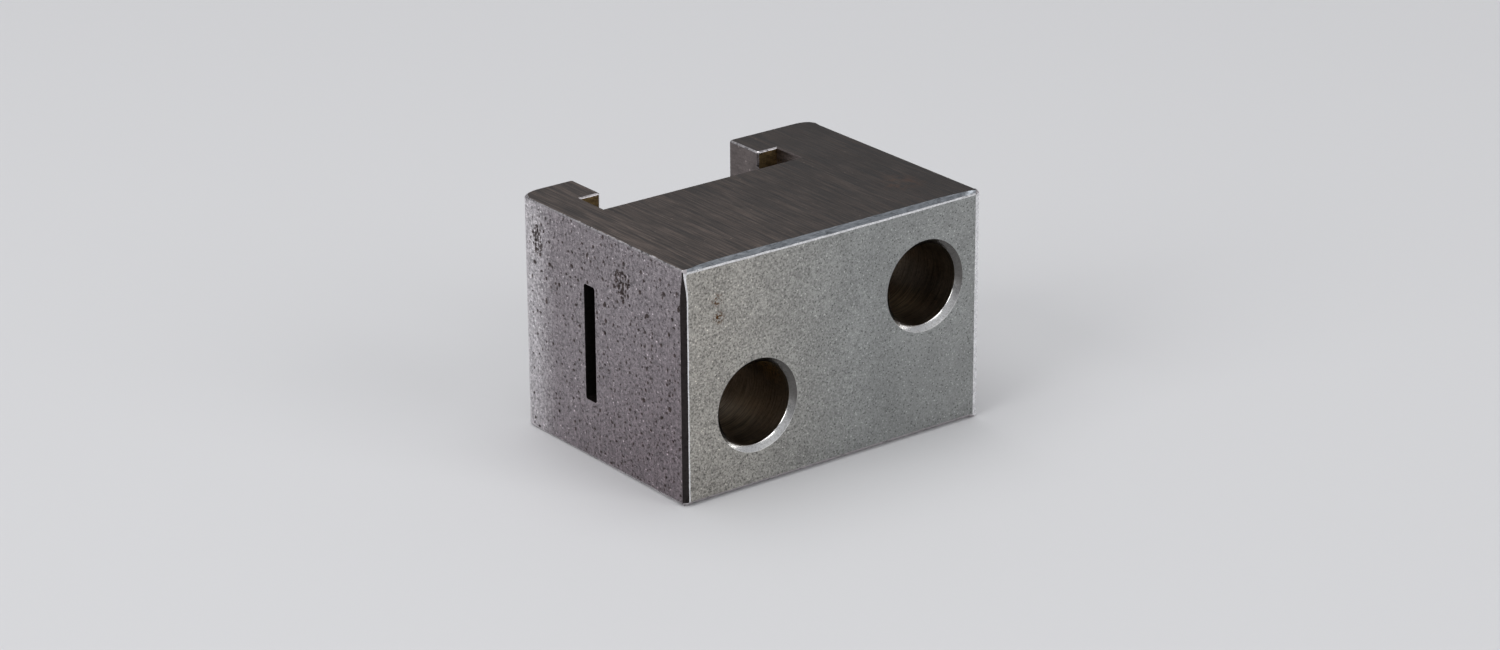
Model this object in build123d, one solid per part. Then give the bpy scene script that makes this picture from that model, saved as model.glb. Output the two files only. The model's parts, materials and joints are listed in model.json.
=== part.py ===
from build123d import *
import os

# Machined steel mounting block: one solid, cut from a ground bar.
# Millimetres. X runs along the block's length, Y from the bored front face to the slotted back,
# Z up. The origin is the centre of the underside.

# ---- driving dimensions ---------------------------------------------------------------------
block_length = 37.4            # end face to end face, along X
block_depth = 27.8             # front face to the backs of the two lips, along Y
block_height = 25.0            # underside to top, along Z

# T-slot: open at the back, and cut right through from top to underside
slot_from_left = 16.6          # left end face to the slot's centre plane
slot_mouth_width = 20.0        # between the two lips
undercut_width = 25.0          # behind the lips
undercut_depth = 4.1           # slot floor to the inner faces of the lips
lip_thickness = 4.95           # inner face of a lip to the back of the block

# Two plain bores from the front face into the slot, on a diagonal
bore_diameter = 8.7
bore_chamfer = 0.55            # 45 degree chamfer at each mouth
low_bore_from_left = 9.0
low_bore_from_bottom = 8.7
high_bore_from_right = 7.1
high_bore_from_top = 8.8

# Narrow blind slot in the left end face, at mid height
end_slot_from_front = 15.7     # front face to the slot's centre line
end_slot_width = 1.85
end_slot_height = 12.4
end_slot_depth = 3.0
end_slot_corner = 0.2

# Upright edges
left_front_chamfer = 0.5       # where the left end meets the front face
right_front_chamfer = 0.55     # the same at the right end, as measured on the front face
right_front_chamfer_side = 0.15    # and as measured on the end face
back_corner_radius = 1.55      # outer edges of the two lips
lip_tip_chamfer = 0.2          # edges at the ends of the lips

# Level edges
top_break = 0.15               # sharpness taken off round the top
bottom_break = 0.25            # and round the underside
right_top_chamfer = 0.4        # top of the right end face
front_bottom_chamfer = 0.55    # foot of the front face
filed_on_top = 0.52            # the front top edge is filed by hand: its width on the top
filed_on_front = 0.6           # and on the front face
filed_end_on_top = 0.05        # the filed flat runs out at the block's ends
filed_end_on_front = 0.5
filed_run_out = 3.5            # over this length at each end

# ---- places worked out from them ------------------------------------------------------------
left_x = -block_length / 2
right_x = block_length / 2
front_y = -block_depth / 2
back_y = block_depth / 2
slot_x = left_x + slot_from_left
lip_inner_y = back_y - lip_thickness
slot_floor_y = lip_inner_y - undercut_depth
past_the_end = 1.0             # how far a cutter stands out of the block


def block_outline():
    """Plan of the block: a rectangle with the T-slot opened out of its back edge."""
    outline = Rectangle(block_length, block_depth)
    left_front = outline.vertices().group_by(Axis.Y)[0].sort_by(Axis.X)[0]
    outline = chamfer(left_front, left_front_chamfer)
    right_front = outline.vertices().group_by(Axis.Y)[0].sort_by(Axis.X)[-1]
    front_edge = outline.edges().sort_by(Axis.Y)[0]
    outline = chamfer(right_front, right_front_chamfer, right_front_chamfer_side, reference=front_edge)
    outline = fillet(outline.vertices().group_by(Axis.Y)[-1], back_corner_radius)

    mouth = Rectangle(
        slot_mouth_width, back_y + past_the_end - slot_floor_y, align=(Align.CENTER, Align.MIN)
    )
    undercut = Rectangle(undercut_width, undercut_depth, align=(Align.CENTER, Align.MIN))
    outline -= Pos(slot_x, slot_floor_y) * (mouth + undercut)

    # the lip tips are the outline's corners that stand at half the mouth's width
    tips = [
        corner
        for corner in outline.vertices()
        if abs(abs(corner.X - slot_x) - slot_mouth_width / 2) < lip_tip_chamfer / 10
    ]
    return chamfer(tips, lip_tip_chamfer)


def edge_cutter(edge, stations):
    """A cutter that takes a chamfer off a straight edge, its size changing along it.

    edge is a plane whose origin lies at the edge's start and whose third axis runs along it; its
    first two axes point into the block, along the two faces that meet there. Each station is a
    distance along the edge and the chamfer's width on each of those faces.
    """
    sections = []
    for distance, first_leg, second_leg in stations:
        # a triangle whose long side is the chamfer and whose square corner is outside the block
        triangle = Polygon(
            (-first_leg, -second_leg),
            (2 * first_leg, -second_leg),
            (-first_leg, 2 * second_leg),
            align=None,
        )
        sections.append(edge * Pos(0, 0, distance) * triangle)
    return loft(sections, ruled=True)


def straight_edge_cutter(edge, length, leg):
    """The same for an even chamfer along the whole of an edge."""
    return edge_cutter(edge, [(-past_the_end, leg, leg), (length + past_the_end, leg, leg)])


def filed_top_edge():
    """The hand-filed front top edge: widest in its middle, and running out at both ends."""
    edge = Plane(origin=(left_x, front_y, block_height), x_dir=(0, 0, -1), z_dir=(1, 0, 0))
    end_legs = (filed_end_on_front, filed_end_on_top)
    full_legs = (filed_on_front, filed_on_top)
    return edge_cutter(
        edge,
        [
            (-past_the_end, *end_legs),
            (0, *end_legs),
            (filed_run_out, *full_legs),
            (block_length - filed_run_out, *full_legs),
            (block_length, *end_legs),
            (block_length + past_the_end, *end_legs),
        ],
    )


def bores():
    """The two bores, with the cones that chamfer their mouths."""
    places = [
        (left_x + low_bore_from_left, low_bore_from_bottom),
        (right_x - high_bore_from_right, block_height - high_bore_from_top),
    ]
    from_mouth = (Align.CENTER, Align.CENTER, Align.MIN)
    shaft = Cylinder(bore_diameter / 2, slot_floor_y - front_y, align=from_mouth)
    cone = Cone(bore_diameter / 2 + bore_chamfer, bore_diameter / 2, bore_chamfer, align=from_mouth)
    # seen from the front face inwards, this plane's second axis points down
    into_front = Plane(origin=(0, front_y, 0), x_dir=(1, 0, 0), z_dir=(0, 1, 0))
    return [into_front * Pos(x, -z, 0) * (shaft + cone) for x, z in places]


def end_slot():
    """The narrow blind slot in the left end face."""
    into_left = Plane(
        origin=(left_x, front_y + end_slot_from_front, block_height / 2),
        x_dir=(0, 1, 0),
        z_dir=(1, 0, 0),
    )
    mouth = RectangleRounded(end_slot_width, end_slot_height, end_slot_corner)
    return extrude(into_left * mouth, end_slot_depth)


def mounting_block():
    """The whole block: extruded in plan, its level edges broken, then bored and slotted."""
    block = extrude(block_outline(), block_height)
    block = chamfer(block.edges().group_by(Axis.Z)[-1], top_break)
    block = chamfer(block.edges().group_by(Axis.Z)[0], bottom_break)

    front_foot = Plane(origin=(left_x, front_y, 0), x_dir=(0, 1, 0), z_dir=(1, 0, 0))
    block -= straight_edge_cutter(front_foot, block_length, front_bottom_chamfer)
    right_top = Plane(origin=(right_x, front_y, block_height), x_dir=(0, 0, -1), z_dir=(0, 1, 0))
    block -= straight_edge_cutter(right_top, block_depth, right_top_chamfer)
    block -= filed_top_edge()

    block -= bores()
    block -= end_slot()
    return block


os.makedirs("parts", exist_ok=True)
finished = mounting_block()
finished.label = "mounting_block"
export_step(finished, "parts/mounting_block.step")
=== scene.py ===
"""Machined steel mounting block, dressed for rendering.

The block is one piece of steel: a spark-eroded front face with two bores, a pitted left end with a
narrow blind slot, a ground top with a T-slot opened out of the back, and a hand-filed front top
edge. The whole skin is one closed mesh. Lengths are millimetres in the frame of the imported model
until a mesh is written, which is in metres.
"""

import json
import logging
import math
from abc import ABC, abstractmethod
from dataclasses import dataclass, field
from enum import Enum
from typing import Callable, Iterable

import bmesh
import bpy
import numpy as np
from mathutils import Matrix, Vector


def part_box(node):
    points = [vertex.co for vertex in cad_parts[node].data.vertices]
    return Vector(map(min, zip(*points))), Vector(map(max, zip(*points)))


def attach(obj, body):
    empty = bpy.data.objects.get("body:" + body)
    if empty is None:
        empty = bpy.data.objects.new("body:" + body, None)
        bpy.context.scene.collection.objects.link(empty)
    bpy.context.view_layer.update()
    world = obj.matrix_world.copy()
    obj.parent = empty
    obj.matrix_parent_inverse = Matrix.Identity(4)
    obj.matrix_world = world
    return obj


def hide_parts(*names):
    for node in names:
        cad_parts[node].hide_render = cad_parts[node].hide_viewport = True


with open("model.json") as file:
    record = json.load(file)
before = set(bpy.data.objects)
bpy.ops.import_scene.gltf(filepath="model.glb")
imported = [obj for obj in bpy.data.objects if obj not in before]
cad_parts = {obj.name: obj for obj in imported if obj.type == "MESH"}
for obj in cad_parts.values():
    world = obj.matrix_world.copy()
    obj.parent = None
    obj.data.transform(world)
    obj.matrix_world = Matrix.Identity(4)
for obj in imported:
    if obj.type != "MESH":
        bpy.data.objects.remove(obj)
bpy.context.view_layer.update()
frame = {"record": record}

NODE = "mounting_block"
BODY = "root"
METRES = 0.001                 # one millimetre

Colour = tuple[float, float, float]      # linear red, green and blue
Point = tuple[float, float, float]       # x, y and z in millimetres
Scale = tuple[float, float, float]       # cells of a pattern per millimetre along x, y and z

log = logging.getLogger("mounting_block")


# ---- sizes ------------------------------------------------------------------------------------


class Finish(Enum):
    """The finishes of the block's skin. The value is the name of the material."""

    SPARK_ERODED = "spark_eroded_front"
    PITTED = "pitted_left_end"
    GROUND_TOP = "ground_top"
    GROUND_SIDE = "ground_side"
    FILED = "filed_flat"
    # narrow real facets whose near-white colour is a painted highlight
    BURNISHED = "burnished_ridge"
    DARK_CHAMFER = "dark_chamfer"
    # real edge breaks whose pale colour is a painted highlight
    BROKEN_EDGE = "broken_edge"
    BORE_CHAMFER = "turned_bore_chamfer"
    BORE_WALL = "bore_wall"
    SLOT_WALL = "milled_slot_wall"
    LIP_INNER = "straw_tinted_lip"
    # the end slot, painted almost black as shade
    END_SLOT = "end_slot"

    @property
    def index(self) -> int:
        """Place of this finish among the mesh's material slots."""
        return list(Finish).index(self)


@dataclass(frozen=True)
class Bore:
    """A plain bore that starts at the front face.

    x and z give its axis, radius its wall, and chamfer the width of the cone at its mouth.
    """

    x: float
    z: float
    radius: float
    chamfer: float = 0.55

    @classmethod
    def from_mount(cls, name: str) -> "Bore":
        """The bore that the record's mount of this name describes.

        Args:
            name: name of a bore among the record's mounts.

        Returns:
            The bore, in millimetres.
        """
        mount = next(m for m in frame["record"]["mounts"] if m["name"] == name)
        x, _, z = (value / METRES for value in mount["pos_m"])
        return cls(round(x, 3), round(z, 3), mount["dims"]["r_mm"])

    @property
    def mouth(self) -> float:
        """Radius of the mouth, on the front face."""
        return self.radius + self.chamfer


@dataclass(frozen=True)
class BlockSizes:
    """Sizes of the block, in millimetres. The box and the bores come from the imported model."""

    left: float
    right: float
    front: float
    back: float
    top: float
    slot_x: float
    low_bore: Bore
    high_bore: Bore
    slot_mouth: float = 20.0
    undercut_width: float = 25.0
    undercut_depth: float = 4.1
    lip_thickness: float = 4.95
    back_radius: float = 1.55
    lip_chamfer: float = 0.2
    end_slot_y: float = 1.8
    end_slot_width: float = 1.85
    end_slot_height: float = 12.4
    end_slot_depth: float = 3.0
    end_slot_corner: float = 0.28
    left_chamfer_front: float = 0.51
    left_chamfer_side: float = 0.47
    right_chamfer_front: float = 0.55
    right_chamfer_side: float = 0.15

    @classmethod
    def from_frame(cls) -> "BlockSizes":
        """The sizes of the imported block."""
        low, high = (np.array(corner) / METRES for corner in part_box(NODE))
        slot = next(m for m in frame["record"]["mounts"] if m["name"] == "t_slot")
        return cls(
            left=round(low[0], 3),
            right=round(high[0], 3),
            front=round(low[1], 3),
            back=round(high[1], 3),
            top=round(high[2], 3),
            slot_x=round(slot["pos_m"][0] / METRES, 3),
            low_bore=Bore.from_mount("low_bore"),
            high_bore=Bore.from_mount("high_bore"),
        )

    @property
    def lip_y(self) -> float:
        """Inner faces of the two lips."""
        return self.back - self.lip_thickness

    @property
    def floor_y(self) -> float:
        """Floor of the T-slot."""
        return self.lip_y - self.undercut_depth

    @property
    def undercut_right(self) -> float:
        """Right wall of the undercut."""
        return self.slot_x + self.undercut_width / 2

    @property
    def undercut_left(self) -> float:
        """Left wall of the undercut."""
        return self.slot_x - self.undercut_width / 2

    @property
    def chord(self) -> float:
        """Half the length of the line along which the undercut's right wall cuts the high bore."""
        reach = self.high_bore.x - self.undercut_right
        return math.sqrt(self.high_bore.radius**2 - reach**2)


# ---- small tools for arrays -------------------------------------------------------------------


def lines_through(keys: Iterable[float], step: float) -> np.ndarray:
    """Grid lines through every key value, with even cells of about one step between two keys.

    Args:
        keys: values that a grid line has to pass through.
        step: width that the cells should come near.

    Returns:
        The rising line positions.
    """
    stops = sorted(keys)
    runs = [
        np.linspace(a, b, max(1, round((b - a) / step)), endpoint=False)
        for a, b in zip(stops, stops[1:])
    ]
    return np.append(np.concatenate(runs), stops[-1])


def line_at(lines: np.ndarray, value: float) -> int:
    """Index of the grid line that passes through a value."""
    index = int(np.argmin(np.abs(lines - value)))
    if abs(lines[index] - value) > 1e-6:
        raise ValueError(f"no grid line passes through {value}")
    return index


def ease(x: np.ndarray, start: float, end: float) -> np.ndarray:
    """Smooth step: 0 before start, 1 after end, and 3t^2 - 2t^3 between them."""
    t = np.clip((x - start) / (end - start), 0.0, 1.0)
    return t * t * (3.0 - 2.0 * t)


def hashed(i: np.ndarray, j: np.ndarray, salt: float) -> np.ndarray:
    """A number from 0 to 1 for each pair of whole numbers: the fraction of a large sine."""
    return np.modf(np.abs(np.sin(i * 127.1 + j * 311.7 + salt * 74.7) * 43758.5453))[0]


def wander(x: np.ndarray, pitch: float, salt: float) -> np.ndarray:
    """A smooth line that wanders between -1 and 1, with a new random height at every pitch."""
    at = x / pitch
    cell = np.floor(at)
    t = ease(at - cell, 0.0, 1.0)
    before = hashed(cell, cell * 0 + 3.0, salt)
    after = hashed(cell + 1, cell * 0 + 3.0, salt)
    return 2.0 * (before * (1 - t) + after * t) - 1.0


# ---- patches ----------------------------------------------------------------------------------


@dataclass
class Patch:
    """Part of the skin: points, and faces that index them, each with its finish."""

    points: np.ndarray
    faces: list[tuple[int, ...]]
    finishes: np.ndarray


def grid_faces(rows: int, columns: int, closed: bool = False) -> np.ndarray:
    """Quads of a grid of points that are stored row by row.

    Args:
        rows: number of rows of points.
        columns: number of points in a row.
        closed: whether the last point of each row joins up with the first.

    Returns:
        An array of (cell row, cell column, 4) point indices.
    """
    last = columns if closed else columns - 1
    row = np.arange(rows - 1)[:, None]
    column = np.arange(last)[None, :]
    after = (column + 1) % columns
    corners = [
        row * columns + column,
        row * columns + after,
        (row + 1) * columns + after,
        (row + 1) * columns + column,
    ]
    return np.stack(corners, axis=-1)


def grid_patch(points: np.ndarray, finish: np.ndarray, keep: np.ndarray | None = None,
               closed: bool = False) -> Patch:
    """A patch from a grid of points.

    Args:
        points: (rows, columns, 3) points.
        finish: finish index of every cell, or one that broadcasts to them.
        keep: which cells are wanted; all of them if it is left out.
        closed: whether the rows of points are closed rings.

    Returns:
        The patch.
    """
    rows, columns = points.shape[:2]
    faces = grid_faces(rows, columns, closed)
    finishes = np.broadcast_to(finish, faces.shape[:2])
    wanted = np.ones(faces.shape[:2], bool) if keep is None else keep
    quads = faces[wanted]
    return Patch(points.reshape(-1, 3), [tuple(q) for q in quads.tolist()], finishes[wanted])


def stepped_strip(coarse: np.ndarray, dense: np.ndarray, pace: int, finish: Finish) -> Patch:
    """One strip of faces between a coarse border and one with more points.

    Args:
        coarse: points of the coarse border.
        dense: points of the other border, pace of them for each coarse cell.
        pace: number of dense cells beside a coarse one.
        finish: finish of the faces.

    Returns:
        The patch; every face has pace + 3 corners.
    """
    count = len(coarse)
    faces = [
        (t, *range(count + t * pace, count + (t + 1) * pace + 1), t + 1) for t in range(count - 1)
    ]
    return Patch(np.concatenate([coarse, dense]), faces, np.full(len(faces), finish.index))


# ---- the lattice and the outline --------------------------------------------------------------


class Side(Enum):
    """Stretches of the block's outline, seen from above and taken anticlockwise."""

    FRONT = 0
    FRONT_RIDGE = 1
    RIGHT_CHAMFER = 2
    RIGHT = 3
    RIGHT_CORNER = 4
    LIP_BACK = 5
    LIP_TIP = 6
    LIP_END = 7
    LIP_INNER = 8
    UNDERCUT = 9
    SLOT_FLOOR = 10
    LEFT_CORNER = 11
    LEFT = 12
    LEFT_CHAMFER = 13


@dataclass(frozen=True)
class Break:
    """How an edge is broken: its width on the level face and on the upright one."""

    level: float
    upright: float


TOP_BREAKS: dict[Side, Break] = {
    Side.FRONT_RIDGE: Break(0.05, 0.46),
    Side.RIGHT_CHAMFER: Break(0.2, 0.44),
    Side.RIGHT: Break(0.4, 0.4),
    Side.RIGHT_CORNER: Break(0.26, 0.26),
    Side.LIP_BACK: Break(0.15, 0.15),
    Side.LIP_TIP: Break(0.15, 0.15),
    Side.LIP_END: Break(0.15, 0.17),
    Side.LIP_INNER: Break(0.15, 0.17),
    Side.UNDERCUT: Break(0.12, 0.12),
    Side.SLOT_FLOOR: Break(0.12, 0.12),
    Side.LEFT_CORNER: Break(0.3, 0.24),
    Side.LEFT: Break(0.11, 0.14),
    Side.LEFT_CHAMFER: Break(0.07, 0.24),
}
FOOT_BREAKS: dict[Side, Break] = {
    Side.FRONT: Break(0.55, 0.55),
    Side.FRONT_RIDGE: Break(0.52, 0.52),
    Side.LEFT_CHAMFER: Break(0.45, 0.45),
    Side.LEFT: Break(0.26, 0.26),
}
PLAIN_FOOT = Break(0.25, 0.25)


@dataclass
class Lattice:
    """The grid lines that every patch shares, so that neighbours meet point to point.

    x, y and z are the line positions. Every size of the block lies on a line: the slot, the
    windows round the bores, the end slot, and the borders of the edges.
    """

    sizes: BlockSizes
    step: float = 0.5
    window: float = 5.9            # half the side of the square cut out round a bore
    corner_cells: int = 5          # cells from either side to the middle of a back corner
    x: np.ndarray = field(init=False)
    y: np.ndarray = field(init=False)
    z: np.ndarray = field(init=False)

    def __post_init__(self) -> None:
        """Lays the lines."""
        b = self.sizes
        half_mouth = b.slot_mouth / 2
        low, high = b.low_bore, b.high_bore
        ridge = b.left_chamfer_front + 0.23
        left_zone = [b.left_chamfer_front, ridge, 1.0, 1.28]
        right_zone = [1.28, 1.0, 0.77, b.right_chamfer_front]
        inner = [
            b.left + b.back_radius,
            low.x - self.window,
            b.undercut_left,
            b.slot_x - half_mouth - b.lip_chamfer,
            b.slot_x - half_mouth,
            low.x + self.window,
            low.x + self.window + b.undercut_left - (low.x - self.window),
            high.x - self.window,
            b.slot_x + half_mouth,
            b.slot_x + half_mouth + b.lip_chamfer,
            b.undercut_right,
            b.right - b.back_radius,
        ]
        self.x = np.concatenate([
            [b.left], b.left + np.array(left_zone), lines_through(inner, self.step),
            b.right - np.array(right_zone), [b.right],
        ])
        back_zone = np.array([1.2, 0.85, 0.5, b.lip_chamfer])
        inner = [
            b.front + 1.2,
            b.end_slot_y - b.end_slot_width / 2,
            b.end_slot_y + b.end_slot_width / 2,
            b.floor_y,
            b.lip_y,
            b.lip_y + b.lip_chamfer,
            b.back - b.back_radius,
        ]
        self.y = np.concatenate([
            [b.front, b.front + b.right_chamfer_side, b.front + b.left_chamfer_side],
            lines_through(inner, self.step), b.back - back_zone, [b.back],
        ])
        middle = b.top / 2
        keys = [
            1.2,
            low.z - self.window,
            middle - b.end_slot_height / 2,
            high.z - self.window,
            high.z - b.chord,
            low.z + self.window,
            middle + b.end_slot_height / 2,
            high.z + b.chord,
            high.z + self.window,
            b.top - 1.4,
        ]
        self.z = lines_through(keys, self.step)


PROFILE_ROWS = 4               # points across a broken edge, both its borders among them


@dataclass(frozen=True)
class FiledEdge:
    """The hand-filed flat along the front top edge, with a narrow line at its foot that is painted near
    white as a highlight.

    On the top, the flat starts at in_from and out_from from the two ends, and with the distance
    d from there comes to its full width as 1 - exp(-d / run). On the front, its border is drop
    below the top at the ends and bows down between them. The line at its foot dips inwards.
    """

    in_from: float = 0.9
    out_from: float = 0.4
    run: float = 1.6
    least: float = 0.035
    width: float = 0.51
    drop: float = 0.52
    bow: float = 0.11
    line: float = 0.2
    dip: float = 0.035


@dataclass(frozen=True)
class TaperedCorner:
    """The front left upright edge: a chamfer that narrows over the taper's length to its least
    share at the top, and a ridge beside it that widens there by the flare."""

    least: float = 0.22
    taper: float = 3.4
    ridge: float = 0.13
    flare: float = 0.3
    flare_length: float = 1.1
    set_back: float = 0.03


class Wall:
    """The upright sides of the block: an outline in plan, carried up through rows of points.

    The outline starts at the front left corner and goes anticlockwise, seen from above. Each
    point of the outline lies on a lattice line, or between two of them along the left end, where
    the grid is finer. Each row of points goes once round the outline. The lowest and highest
    four rows go round the broken edges.
    """

    FINE = 4                   # fine cells for each lattice cell on the left end

    def __init__(self, sizes: BlockSizes, lattice: Lattice) -> None:
        """Works out the outline and all its rows."""
        self.sizes = sizes
        self.lattice = lattice
        self._walk()
        self._rows()

    # -- outline

    def _walk(self) -> None:
        """Lists the outline's points as places on the lattice, and the side of each cell."""
        b, g = self.sizes, self.lattice
        last_x, last_y = len(g.x) - 1, len(g.y) - 1
        zone = g.corner_cells
        half_mouth = b.slot_mouth / 2
        mouth_left = line_at(g.x, b.slot_x - half_mouth)
        mouth_right = line_at(g.x, b.slot_x + half_mouth)
        wall_left = line_at(g.x, b.undercut_left)
        wall_right = line_at(g.x, b.undercut_right)
        lip, floor = line_at(g.y, b.lip_y), line_at(g.y, b.floor_y)
        self.mouth = (mouth_left, mouth_right)
        self.undercut = (wall_left, wall_right)
        self.lip_row, self.floor_row = lip, floor
        fine = 1.0 / self.FINE
        runs: list[tuple[Side, tuple[float, float], tuple[float, float], float]] = [
            (Side.LEFT_CHAMFER, (0, 0), (1, 0), 1),
            (Side.FRONT_RIDGE, (1, 0), (2, 0), 1),
            (Side.FRONT, (2, 0), (last_x - 1, 0), 1),
            (Side.RIGHT_CHAMFER, (last_x - 1, 0), (last_x, 0), 1),
            (Side.RIGHT_CHAMFER, (last_x, 0), (last_x, 1), 1),
            (Side.RIGHT, (last_x, 1), (last_x, last_y - zone), 1),
            (Side.RIGHT_CORNER, (last_x, last_y - zone), (last_x, last_y), 1),
            (Side.RIGHT_CORNER, (last_x, last_y), (last_x - zone, last_y), 1),
            (Side.LIP_BACK, (last_x - zone, last_y), (mouth_right + 1, last_y), 1),
            (Side.LIP_TIP, (mouth_right + 1, last_y), (mouth_right, last_y), 1),
            (Side.LIP_TIP, (mouth_right, last_y), (mouth_right, last_y - 1), 1),
            (Side.LIP_END, (mouth_right, last_y - 1), (mouth_right, lip + 1), 1),
            (Side.LIP_TIP, (mouth_right, lip + 1), (mouth_right, lip), 1),
            (Side.LIP_TIP, (mouth_right, lip), (mouth_right + 1, lip), 1),
            (Side.LIP_INNER, (mouth_right + 1, lip), (wall_right, lip), 1),
            (Side.UNDERCUT, (wall_right, lip), (wall_right, floor), 1),
            (Side.SLOT_FLOOR, (wall_right, floor), (wall_left, floor), 1),
            (Side.UNDERCUT, (wall_left, floor), (wall_left, lip), 1),
            (Side.LIP_INNER, (wall_left, lip), (mouth_left - 1, lip), 1),
            (Side.LIP_TIP, (mouth_left - 1, lip), (mouth_left, lip), 1),
            (Side.LIP_TIP, (mouth_left, lip), (mouth_left, lip + 1), 1),
            (Side.LIP_END, (mouth_left, lip + 1), (mouth_left, last_y - 1), 1),
            (Side.LIP_TIP, (mouth_left, last_y - 1), (mouth_left, last_y), 1),
            (Side.LIP_TIP, (mouth_left, last_y), (mouth_left - 1, last_y), 1),
            (Side.LIP_BACK, (mouth_left - 1, last_y), (zone, last_y), 1),
            (Side.LEFT_CORNER, (zone, last_y), (0, last_y), 1),
            (Side.LEFT_CORNER, (0, last_y), (0, last_y - zone), 1),
            (Side.LEFT, (0, last_y - zone), (0, 2), fine),
            (Side.LEFT_CHAMFER, (0, 2), (0, 0), 1),
        ]
        places, sides = [], []
        for side, start, end, pace in runs:
            cells = round(max(abs(end[0] - start[0]), abs(end[1] - start[1])) / pace)
            t = np.arange(cells)[:, None] / cells
            places.append(np.array(start) * (1 - t) + np.array(end) * t)
            sides += [side] * cells
        self.places = np.concatenate(places)
        self.sides = sides
        self.side_index = np.array([side.value for side in sides])

    def find(self, i: float, j: float) -> int:
        """Number of the outline point at a place on the lattice."""
        gap = np.abs(self.places - (i, j)).sum(axis=1)
        return int(np.argmin(gap))

    def cells_of(self, side: Side) -> np.ndarray:
        """Numbers of the outline's cells on one side."""
        return np.flatnonzero(self.side_index == side.value)

    # -- rows

    def _break(self, breaks: dict[Side, Break], plain: Break) -> tuple[np.ndarray, np.ndarray]:
        """Widths of the edge break at every outline point: the mean of the two cells beside it.

        Args:
            breaks: the break of each side that has its own.
            plain: the break of the others.

        Returns:
            The widths on the level face and on the upright face.
        """
        level = np.array([breaks.get(side, plain).level for side in self.sides])
        upright = np.array([breaks.get(side, plain).upright for side in self.sides])
        return 0.5 * (level + np.roll(level, 1)), 0.5 * (upright + np.roll(upright, 1))

    def _rows(self) -> None:
        """Works out the points of every row, as an array of (outline point, row, 3)."""
        b, g = self.sizes, self.lattice
        x = np.interp(self.places[:, 0], np.arange(len(g.x)), g.x)
        y = np.interp(self.places[:, 1], np.arange(len(g.y)), g.y)
        level, upright = self._break(TOP_BREAKS, Break(0.15, 0.15))
        foot_level, foot_upright = self._break(FOOT_BREAKS, PLAIN_FOOT)

        on_front = self.side_index == Side.FRONT.value
        front = on_front | np.roll(on_front, 1)
        from_left, from_right = x - b.left, b.right - x
        edge = FiledEdge()
        run_in = 1 - np.exp(-np.clip(from_left - edge.in_from, 0, None) / edge.run)
        run_out = 1 - np.exp(-np.clip(from_right - edge.out_from, 0, None) / edge.run)
        filed = edge.least + edge.width * run_in * run_out + 0.018 * wander(x, 1.9, 1.0)
        level = np.where(front, np.maximum(filed, 0.03), level)
        bow = edge.drop + edge.bow * np.sin(math.pi * from_left / (b.right - b.left))
        upright = np.where(front, bow + 0.012 * wander(x, 1.3, 2.0), upright)
        ridge = np.where(front, edge.line + 0.02 * wander(x, 0.9, 4.0), 0.4 * upright)
        dip = np.where(front, edge.dip, 0.25 * level)

        left = self.side_index == Side.LEFT.value
        nick = np.clip(wander(y, 0.42, 7.0) - 0.35, 0, None)
        nick = nick * ease(y, -11.5, -8.0) * (1 - ease(y, 3.0, 7.0))
        level = np.where(left, level + 0.22 * nick + 0.012 * wander(y, 0.6, 9.0), level)
        lean = ease(-y, -b.back, -b.front)
        foot_level = np.where(left, 0.22 + 0.2 * lean, foot_level)
        foot_upright = np.where(left, 0.22 + 0.2 * lean, foot_upright)

        # heights and insets of the rows, from the underside up
        ones = np.ones_like(x)
        crown = 0.92
        top_crown = np.where(front, 0.97, crown)
        heights = [
            0 * ones, 0.3 * foot_upright * crown, 0.64 * foot_upright, foot_upright,
            0.5 * (foot_upright + g.z[0]),
        ]
        insets = [foot_level, 0.64 * foot_level, 0.3 * foot_level * crown, 0 * ones, 0 * ones]
        heights += [height * ones for height in g.z]
        insets += [0 * ones for _ in g.z]
        border = b.top - upright
        heights += [
            0.5 * (border + g.z[-1]), border, border + ridge,
            b.top - 0.5 * (upright - ridge) * top_crown, b.top * ones,
        ]
        insets += [0 * ones, 0 * ones, dip, 0.5 * (level + dip) * top_crown, level]
        self.first_face_row = PROFILE_ROWS - 1
        self.last_face_row = len(heights) - PROFILE_ROWS
        z = np.stack(heights, axis=1)
        inset = np.stack(insets, axis=1)

        px = np.repeat(x[:, None], z.shape[1], axis=1)
        py = np.repeat(y[:, None], z.shape[1], axis=1)
        self._shape_corners(px, py, z)
        inward = self._inward(px[:, z.shape[1] // 2], py[:, z.shape[1] // 2])
        px += inward[:, :1] * inset
        py += inward[:, 1:] * inset
        self.points = np.stack([px, py, z], axis=-1)

    def row_at(self, height: float) -> int:
        """Number of the row that lies at a height that has a lattice line."""
        return PROFILE_ROWS + 1 + line_at(self.lattice.z, height)

    def _shape_corners(self, px: np.ndarray, py: np.ndarray, z: np.ndarray) -> None:
        """Moves the outline's corner points onto the chamfers and rounded corners, row by row."""
        b, g = self.sizes, self.lattice
        last_x, last_y = len(g.x) - 1, len(g.y) - 1
        zone = g.corner_cells

        # rounded back corners: points at even angles round the corner's centre
        turn = np.linspace(0, math.pi / 2, 2 * zone + 1)[:, None]
        first = self.find(last_x, last_y - zone)
        arc = slice(first, first + 2 * zone + 1)
        px[arc] = b.right - b.back_radius + b.back_radius * np.cos(turn)
        py[arc] = b.back - b.back_radius + b.back_radius * np.sin(turn)
        first = self.find(zone, last_y)
        arc = slice(first, first + 2 * zone + 1)
        px[arc] = b.left + b.back_radius - b.back_radius * np.sin(turn)
        py[arc] = b.back - b.back_radius + b.back_radius * np.cos(turn)

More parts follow.
